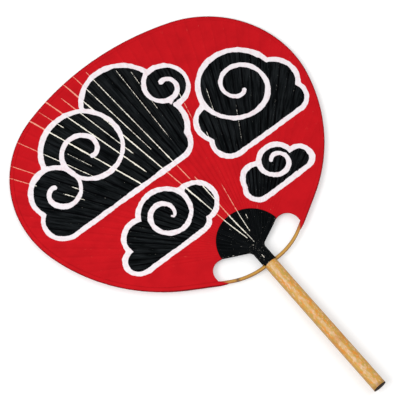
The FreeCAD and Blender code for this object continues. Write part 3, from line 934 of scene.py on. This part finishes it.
def strip_edge():
    """Fold of the strip from the fan's centre, left to right, and how far it has tapered."""
    base, limit, share = sheet_columns()
    ends = math.radians(CORNER_DIRECTION)
    direction = np.concatenate([[-ends], base + share * PITCH / 2, [ends]])
    rim = rim_radius(direction)
    edge = np.stack([rim * np.sin(direction), rim * np.cos(direction)], 1)
    bend_end, normal = bow_bend_end()
    last = bend_end + normal * (BOW_WIDTHS[1] / 2 + TIP_MARGIN) - (0, FAN_Y)
    steps = np.linspace(0, 1, TIP_COLUMNS + 1)[1:]
    tip = edge[-1] + (last - edge[-1]) * steps[:, None]
    edge = np.concatenate([tip[::-1] * (-1, 1), edge, tip])
    return edge, np.concatenate([steps[::-1], np.zeros(len(direction)), steps])


def make_edge_strip():
    """Strip folded over the rim, pressed down onto the ridges of both papers."""
    edge, tip = strip_edge()
    heading = headings(edge)
    inward = np.stack([heading[:, 1], -heading[:, 0]], 1)
    width = STRIP_WIDTH * (1 - tip * (1 - TIP_WIDTH_SHARE))
    rows = []
    for width_share, darkening in zip(STRIP_SHARES, STRIP_DARKENING_SHARES):
        spot = edge + inward * width[:, None] * width_share
        level = sheet_level(*polar(spot))
        rows.append((spot, (level + STRIP_LIFT) * (1 - tip) + TIP_LEVEL * tip, darkening))
    for level_share in STRIP_FOLD_SHARES:
        bulge = STRIP_FOLD * math.sqrt(1 - level_share ** 2)
        rows.append((edge - inward * bulge, rows[-1][1] * level_share, 1.0))
    rows += [(spot, -level, fold) for spot, level, fold in reversed(rows[:-1])]
    points = np.concatenate([np.column_stack([spot, level]) for spot, level, fold in rows])
    faces = grid_faces(len(rows), len(edge), False, False)
    placed = points + (0, FAN_Y, 0)
    strip = make_piece("rim_strip", placed, faces, strip_paper(), "edge_paper", "edge_strip")
    add_rib_attributes(strip, *polar(points))
    set_attribute(strip, "fold", np.repeat([fold for spot, level, fold in rows], len(edge)))
    thicken(strip, STRIP_SHEET)


# Neck papers

def scallop_radius(direction):
    """Distance from the centre of the fan to the scallop's edge."""
    drop = SCALLOP_Y - FAN_Y
    return drop * np.cos(direction) + np.sqrt(SCALLOP_RADIUS ** 2 - (drop * np.sin(direction)) ** 2)


def neck_lap(direction):
    """How far the sheet runs down over the culm."""
    turn = np.degrees(np.abs(direction)) * RING_TURN
    return NECK_LAP * smooth((LAP_SIDE - turn) / LAP_FADE)


def neck_route(direction, share):
    """Middle of a rib, the length along it, how far it has settled and the heading it has turned to."""
    lead = rib_lead(direction)
    corner_x = lead * np.sin(direction)
    corner_y = FAN_Y + lead * np.cos(direction)
    straight = corner_y - RIB_BEND - HANDLE_TOP + neck_lap(direction)
    past = share * (straight + RIB_BEND + scallop_radius(direction) - lead) - straight
    bend = np.clip(past / (2 * RIB_BEND), 0, 1)
    beyond = np.maximum(past - 2 * RIB_BEND, 0)
    run = RIB_BEND * bend ** 2 + beyond
    x = corner_x + np.sin(direction) * run
    y = corner_y + np.cos(direction) * run - RIB_BEND * (1 - bend) ** 2 + np.minimum(past, 0)
    return x, y, lead - RIB_BEND + past, rib_settled(direction, np.maximum(past, 0)), direction * bend


def neck_points(direction, share, edge_share):
    """Points of the sheet over a rib, or round the side of the last rib."""
    x, y, along, settled, heading = neck_route(direction, share)
    turn = direction * RING_TURN
    radius = np.hypot(x, y - FAN_Y)
    side = np.sign(direction)
    sideways = np.stack([np.cos(heading) * side, -np.sin(heading) * side, np.zeros_like(x)], -1)
    normal = sideways * (np.abs(np.sin(turn)) * (1 - settled))[..., None]
    normal[..., 2] = np.cos(turn) * (1 - settled) + settled
    lean = normal + (sideways - normal) * edge_share[..., None]
    lean /= np.linalg.norm(lean, axis=-1)[..., None]
    flat = RIDGE + NECK_LIFT - rib_dip(direction, radius)
    flat = flat * (1 - edge_share) + NECK_EDGE_MARGIN * edge_share
    halfway = 4 * settled * (1 - settled)
    offset = NECK_RING_OFFSET * (1 - settled) + flat * settled + NECK_SWELL * halfway
    middle = np.stack([x, y, RING_RADIUS * np.cos(turn) * (1 - settled)], -1)
    return middle + lean * offset[..., None], along


def make_neck_sheet(name, node, material, facing):
    """One neck paper, from the top of the culm to the scallop."""
    places = [number + share for number in range(RIB_COUNT - 1) for share in NECK_SHARES] + [RIB_COUNT - 1]
    main = rib_direction(np.array(places))
    edge = np.full(len(NECK_EDGE_SHARES), SPREAD)
    direction = np.concatenate([-edge, main, edge])
    edge_shares = np.concatenate([NECK_EDGE_SHARES[::-1], np.zeros(len(main)), NECK_EDGE_SHARES])
    share, direction = np.meshgrid(np.linspace(0, 1, NECK_ROWS), direction, indexing="ij")
    points, along = neck_points(direction, share, np.broadcast_to(edge_shares, share.shape))
    points[..., 2] *= facing
    faces = grid_faces(*direction.shape, False, facing < 0)
    piece = make_piece(name, points, faces, material, "black_paper", node)
    add_rib_attributes(piece, direction, along)
    thicken(piece, NECK_LIFT)


# Bamboo, wood and thread materials

def bamboo(shader, grain, tones, roughness):
    """Colour and roughness of bamboo whose fibres run along the third coordinate of the grain."""
    pale, golden, deep = tones
    fibres = shader.noise(FIBRES, grain)
    colour = shader.mix(shader.levels(FIBRES, fibres), golden, pale)
    colour = shader.mix(shader.layer(MOTTLING, grain), colour, deep)
    colour = shader.mix(shader.layer(FLECKS, grain), colour, FLECK_TONE)
    shader.bump(fibres, BAMBOO_RELIEF)
    return colour, shader.roughness(fibres, *roughness)


def handle_bamboo():
    """Mottled culm with a painted highlight along one side and painted shade on the sides away from it and
    on the left flank, with a faint scar and a stained foot.
    """
    shader = Shader("handle_bamboo")
    spot = shader.axes(shader.place())
    grain = shader.vector(spot["X"], spot["Z"], spot["Y"])
    colour, dull = bamboo(shader, grain, HANDLE_TONES, HANDLE_ROUGHNESS)
    for layer, tone in HANDLE_PATCHES:
        colour = shader.mix(shader.layer(layer), colour, tone)
    # painted highlight: a broken pale stripe along one side of the culm
    lean = shader.math("MULTIPLY", spot["X"], math.sin(HIGHLIGHT_TURN))
    rise = shader.math("SUBTRACT", shader.math("MULTIPLY", spot["Z"], math.cos(HIGHLIGHT_TURN)), lean)
    wear_and_highlight = shader.math("MULTIPLY", shader.ramp(rise, *HIGHLIGHT_BAND), shader.layer(HIGHLIGHT_BREAKUP))
    colour = shader.mix(wear_and_highlight, colour, HIGHLIGHT_TONE)
    # painted shade on the sides turned away from the highlight, and on the left flank
    colour = shader.mix(shader.ramp(rise, *SHADED_BAND), colour, SHADED_TONE)
    colour = shader.mix(shader.ramp(spot["X"], *FLANK_SHADE_BAND), colour, FLANK_SHADE_TONE)
    height = shader.math("ADD", spot["Y"], shader.swing(SCAR_WANDER))
    scar = shader.ramp(height, *SCAR_START_BAND)
    scar = shader.math("MULTIPLY", scar, shader.ramp(height, *SCAR_END_BAND))
    colour = shader.mix(scar, colour, SCAR_TONE)
    colour = shader.mix(shader.ramp(height, *FOOT_BAND), colour, FOOT_TONE)
    return shader.finish(colour, dull, Specular_IOR_Level=HANDLE_SPECULAR)


def bow_bamboo():
    shader = Shader("bow_bamboo_fine")
    grain = shader.attribute("grain", "Vector")
    colour, dull = bamboo(shader, grain, BOW_TONES, BOW_ROUGHNESS)
    across = shader.math("ABSOLUTE", shader.axes(grain)["X"])
    colour = shader.mix(shader.ramp(across, *BOW_EDGE_BAND), colour, BOW_EDGE_TONE)
    knot = shader.math("MULTIPLY", shader.attribute("knot"), BOW_KNOT_STRENGTH)
    colour = shader.mix(knot, colour, BOW_KNOT_TONE)
    colour = shader.mix(shader.attribute("stain"), colour, BOW_STAIN_TONE)
    return shader.finish(colour, dull)


def rib_bamboo():
    shader = Shader("rib_bamboo_fine")
    spot = shader.axes(shader.place())
    up = shader.math("SUBTRACT", spot["Y"], FAN_Y)
    turn = shader.math("ARCTAN2", spot["X"], up)
    flat = shader.vector(spot["X"], up, 0.0)
    along = shader.add("ShaderNodeVectorMath", {0: flat}, "Value", operation="LENGTH")
    grain = shader.vector(shader.math("MULTIPLY", turn, RIB_FLAT_RADIUS), spot["Z"], along)
    colour, dull = bamboo(shader, grain, RIB_TONES, RIB_ROUGHNESS)
    return shader.finish(colour, dull)


def plug_wood():
    shader = Shader("plug_wood")
    inputs = {"Vector": shader.place(), **PLUG_RINGS}
    rings = shader.add("ShaderNodeTexWave", inputs, "Fac", wave_type="RINGS", rings_direction="Y")
    pores = shader.noise(PLUG_PORES)
    colour = shader.mix(shader.ramp(rings, *PLUG_RING_LEVELS), PLUG_DARK, PLUG_PALE)
    colour = shader.mix(shader.levels(PLUG_PORES, pores), colour, PLUG_PORE_TONE)
    shader.bump(pores, PLUG_RELIEF)
    return shader.finish(colour, shader.roughness(pores, *PLUG_ROUGHNESS), Specular_IOR_Level=PLUG_SPECULAR)


def thread_cotton():
    shader = Shader("thread_cotton")
    inputs = {"Vector": shader.place(), **THREAD_TWIST}
    twist = shader.add("ShaderNodeTexWave", inputs, "Fac", bands_direction="DIAGONAL")
    shader.bump(twist, THREAD_RELIEF)
    colour = shader.mix(twist, THREAD_DARK, THREAD_PALE)
    return shader.finish(colour, shader.ramp(twist, 0.0, 1.0, *THREAD_ROUGHNESS))


# Handle and bow

def lathe_profile():
    """Radius and height from the node wall down the bore, up the outside and down the bore to the wall."""
    heights = np.linspace(HANDLE_FOOT, HANDLE_TOP, HANDLE_ROWS)
    middle = (NODE_LOW + NODE_HIGH) / 2
    swell = NODE_SWELL * np.exp(-((heights - middle) / NODE_LENGTH) ** 2)
    lower = [(0, NODE_LOW), (CULM_BORE, NODE_LOW), (CULM_BORE, HANDLE_FOOT)]
    outside = list(zip(HANDLE_RADIUS + swell, heights))
    upper = [(CULM_BORE, HANDLE_TOP), (CULM_BORE, NODE_HIGH), (0, NODE_HIGH)]
    return np.array(lower + outside + upper)


def make_handle():
    """Culm that is a little oval, bent and fluted."""
    profile = lathe_profile()
    around = np.linspace(0, FULL_TURN, HANDLE_SIDES, endpoint=False)
    radius = np.repeat(profile[:, :1], HANDLE_SIDES, 1)
    height = np.repeat(profile[:, 1:], HANDLE_SIDES, 1)
    uneven = HANDLE_OVAL * np.sin(2 * around + height / HANDLE_TWIST)
    uneven = uneven + HANDLE_SWAY * np.sin(height / HANDLE_SWAY_LENGTH) * np.cos(around)
    uneven = uneven + FLUTE * np.sin(FLUTES * around + np.sin(height / HANDLE_SWAY_LENGTH))
    radius = radius + np.where(radius > CULM_BORE, uneven - HANDLE_OVAL, 0)
    points = np.dstack([radius * np.sin(around), height, radius * np.cos(around)])
    faces = grid_faces(len(profile), HANDLE_SIDES, True, False)
    piece = make_piece("culm", points, faces, handle_bamboo(), "culm_bamboo", "handle")
    drill_bow_hole(piece)


def drill_bow_hole(piece):
    """Cross hole that the bow goes through."""
    around = np.linspace(0, FULL_TURN, DRILL_SIDES, endpoint=False)
    ring_y = BOW_Y + HOLE_RADIUS * np.cos(around)
    ring = np.column_stack([np.zeros(DRILL_SIDES), ring_y, HOLE_RADIUS * np.sin(around)])
    reach = np.array([HANDLE_RADIUS * 2, 0, 0])
    points = np.concatenate([ring - reach, ring + reach]) * MM
    mesh = bpy.data.meshes.new("drill")
    mesh.from_pydata(points.tolist(), [], tube_faces(2, DRILL_SIDES))
    drill = bpy.data.objects.new("drill", mesh)
    bpy.context.scene.collection.objects.link(drill)
    weld = piece.modifiers.new("weld", "WELD")
    weld.merge_threshold = WELD_GAP
    hole = piece.modifiers.new("hole", "BOOLEAN")
    hole.object = drill
    hole.solver = "EXACT"
    bpy.context.view_layer.update()
    finished = bpy.data.meshes.new_from_object(piece.evaluated_get(bpy.context.evaluated_depsgraph_get()))
    piece.modifiers.clear()
    piece.data = finished
    finished.set_sharp_from_angle(angle=math.radians(HANDLE_SHARP))
    bpy.data.objects.remove(drill)


def bow_path():
    """Middle line of the bow from left to right, as x and y."""
    bend = math.radians(BOW_BEND_ANGLE)
    turned = np.linspace(0, bend, BOW_STATIONS)
    arc_x = BOW_STRAIGHT + BOW_BEND_RADIUS * np.sin(turned)
    arc_y = BOW_Y + BOW_BEND_RADIUS * (1 - np.cos(turned))
    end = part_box("bow")[1] / MM
    tail = np.linspace(0, 1, BOW_STATIONS)[1:]
    rise = (end.x - arc_x[-1]) * math.tan(bend)
    lift = end.y - BOW_WIDTHS[-1] / 2 - arc_y[-1] - rise
    tail_x = arc_x[-1] + (end.x - arc_x[-1]) * tail
    tail_y = arc_y[-1] + rise * tail + lift * tail ** BOW_TAIL_POWER
    right = np.column_stack([np.append(arc_x, tail_x), np.append(arc_y, tail_y)])
    return np.concatenate([right[::-1] * (-1, 1), right])


def make_bow():
    """Round-cornered stick, square in the handle and thin between the papers."""
    path = bow_path()
    heading = headings(path)
    stations = [0, BOW_ENTRY_X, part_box("bow")[1].x / MM]
    swell = np.exp(-((path[:, 0] - BOW_KNOT_X) / BOW_KNOT_LENGTH) ** 2)
    width = np.interp(np.abs(path[:, 0]), stations, BOW_WIDTHS) + BOW_KNOT_SWELL * swell
    thickness = np.interp(np.abs(path[:, 0]), stations, BOW_THICKNESSES) + BOW_KNOT_SWELL * swell
    around = np.linspace(0, FULL_TURN, BOW_SIDES, endpoint=False)
    power = 2 / BOW_SQUARENESS
    section_a = np.sign(np.cos(around)) * np.abs(np.cos(around)) ** power / 2
    section_b = np.sign(np.sin(around)) * np.abs(np.sin(around)) ** power / 2
    x = path[:, :1] - heading[:, 1:] * width[:, None] * section_a
    y = path[:, 1:] + heading[:, :1] * width[:, None] * section_a
    z = thickness[:, None] * section_b
    faces = tube_faces(len(path), BOW_SIDES)
    piece = make_piece("bow_stick", np.dstack([x, y, z]), faces, bow_bamboo(), "bow_bamboo", "bow")
    set_attribute(piece, "knot", np.repeat(swell, BOW_SIDES))
    stain = smooth((np.abs(path[:, 0]) - BOW_STAIN_START) / (BOW_ENTRY_X - BOW_STAIN_START))
    set_attribute(piece, "stain", np.repeat(stain * BOW_STAIN, BOW_SIDES))
    length = np.append(0, np.cumsum(np.linalg.norm(np.diff(path, axis=0), axis=1)))
    grain = np.dstack([width[:, None] * section_a, z, np.repeat(length[:, None], BOW_SIDES, 1)])
    attribute = piece.data.attributes.new("grain", "FLOAT_VECTOR", "POINT")
    attribute.data.foreach_set("vector", grain.astype(np.float32).ravel())
    piece.data.set_sharp_from_angle(angle=math.radians(BOW_SHARP))


def dress_cad_nodes():
    """Finishes of the nodes that keep their own solids."""
    ribs = rib_bamboo()
    for number in range(1, RIB_COUNT + 1):
        frame["nodes"]["rib_%02d" % number].material_slots[0].material = ribs
    frame["nodes"]["binding_thread"].material_slots[0].material = thread_cotton()
    frame["nodes"]["handle_plug"].material_slots[0].material = plug_wood()


bpy.context.scene.view_settings.view_transform = "Standard"
make_camera()
make_floor()
make_lamps()
make_sky()
make_face_sheets()
make_edge_strip()
neck_material = black_paper()
make_neck_sheet("front_neck_sheet", "front_neck_paper", neck_material, 1)
make_neck_sheet("back_neck_sheet", "back_neck_paper", neck_material, -1)
make_handle()
make_bow()
dress_cad_nodes()
